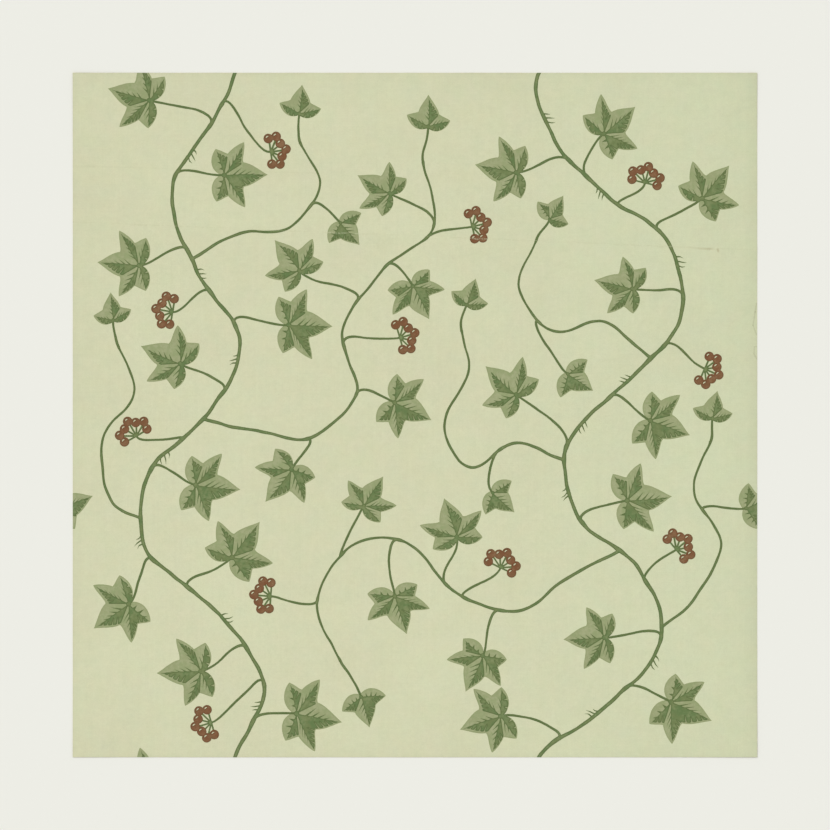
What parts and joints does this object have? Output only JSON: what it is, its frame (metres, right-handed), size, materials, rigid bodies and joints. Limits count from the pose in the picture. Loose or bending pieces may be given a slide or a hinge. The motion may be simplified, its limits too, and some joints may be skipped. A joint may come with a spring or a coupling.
{
  "type": "wallpaper sheet",
  "caption": "Square sheet of block-printed wallpaper: paper, pale ground coat and an ivy trail in two greens and red-brown, lying face up.",
  "frame": {"origin": "middle of the sheet's back face, on the surface it lies on", "axes": "+X across the width, +Y towards the top edge of the design, +Z out of the printed face"},
  "size_m": [0.53, 0.53, 0.0004],
  "materials": {
    "paper": "matte, uncoated",
    "ground_coat": "matte distemper",
    "light_green_print": "matte",
    "mid_green_print": "matte",
    "red_brown_print": "matte"
  },
  "bodies": {
    "root": {"paper": "paper", "ground_coat": "ground_coat", "leaf_01_light_green": "light_green_print", "leaf_02_light_green": "light_green_print", "leaf_03_light_green": "light_green_print", "leaf_04_light_green": "light_green_print", "leaf_05_light_green": "light_green_print", "leaf_06_light_green": "light_green_print", "leaf_07_light_green": "light_green_print", "leaf_08_light_green": "light_green_print", "leaf_09_light_green": "light_green_print", "leaf_10_light_green": "light_green_print", "leaf_10_light_green_cut_1": "light_green_print", "leaf_11_light_green": "light_green_print", "leaf_12_light_green": "light_green_print", "leaf_13_light_green": "light_green_print", "leaf_14_light_green": "light_green_print", "leaf_15_light_green": "light_green_print", "leaf_16_light_green": "light_green_print", "leaf_17_light_green": "light_green_print", "leaf_18_light_green": "light_green_print", "leaf_19_light_green": "light_green_print", "leaf_20_light_green": "light_green_print", "leaf_21_light_green": "light_green_print", "leaf_22_light_green": "light_green_print", "leaf_23_light_green": "light_green_print", "leaf_24_light_green": "light_green_print", "leaf_25_light_green": "light_green_print", "leaf_26_light_green": "light_green_print", "leaf_27_light_green": "light_green_print", "leaf_28_light_green": "light_green_print", "leaf_29_light_green": "light_green_print", "leaf_30_light_green": "light_green_print", "leaf_31_light_green": "light_green_print", "leaf_32_light_green": "light_green_print", "leaf_33_light_green": "light_green_print", "leaf_34_light_green": "light_green_print", "leaf_35_light_green": "light_green_print", "leaf_36_light_green": "light_green_print", "leaf_37_light_green": "light_green_print", "leaf_38_light_green": "light_green_print", "leaf_39_light_green": "light_green_print", "leaf_39_light_green_cut_1": "light_green_print", "leaf_40_light_green": "light_green_print", "trail_east_mid_green": "mid_green_print", "trail_east_mid_green_cut_1": "mid_green_print", "trail_west_mid_green": "mid_green_print", "trail_west_mid_green_cut_1": "mid_green_print", "berries_01_red_brown": "red_brown_print", "berries_02_red_brown": "red_brown_print", "berries_03_red_brown": "red_brown_print", "berries_04_red_brown": "red_brown_print", "berries_05_red_brown": "red_brown_print", "berries_06_red_brown": "red_brown_print", "berries_07_red_brown": "red_brown_print", "berries_08_red_brown": "red_brown_print", "berries_09_red_brown": "red_brown_print", "berries_10_red_brown": "red_brown_print", "berries_11_red_brown": "red_brown_print"}
  },
  "joints": []
}
